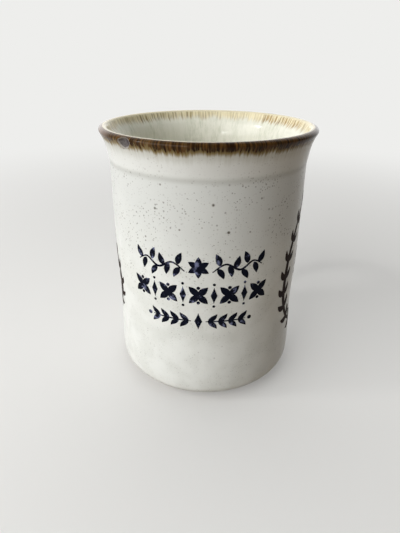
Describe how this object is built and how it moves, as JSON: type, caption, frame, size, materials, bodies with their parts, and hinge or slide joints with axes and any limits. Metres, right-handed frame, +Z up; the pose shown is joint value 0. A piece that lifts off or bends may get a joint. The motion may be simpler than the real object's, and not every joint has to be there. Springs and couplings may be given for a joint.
{
  "type": "commemorative mug",
  "caption": "Straight-sided stoneware mug with a flared, brown-banded lip, a turned foot ring and a strap handle.",
  "frame": {"origin": "on the table, under the middle of the whole mug with its handle; the cup's own axis is the vertical line at y = -0.0140 m", "axes": "+Z up along the cup's axis, +Y from the cup towards the handle, so the front of the mug faces -Y, and +X across the handle"},
  "size_m": [0.0768, 0.1048, 0.098],
  "materials": {
    "bare_clay": "matte",
    "joining_slip": "matte",
    "liner_glaze": "gloss",
    "outer_glaze": "gloss",
    "iron_glaze": "gloss"
  },
  "bodies": {
    "root": {"body": "bare_clay", "handle": "bare_clay", "slip_joint_upper": "joining_slip", "slip_joint_lower": "joining_slip", "glaze_liner": "liner_glaze", "glaze_outer": "outer_glaze", "glaze_rim_band": "iron_glaze", "glaze_handle": "outer_glaze"}
  },
  "joints": []
}
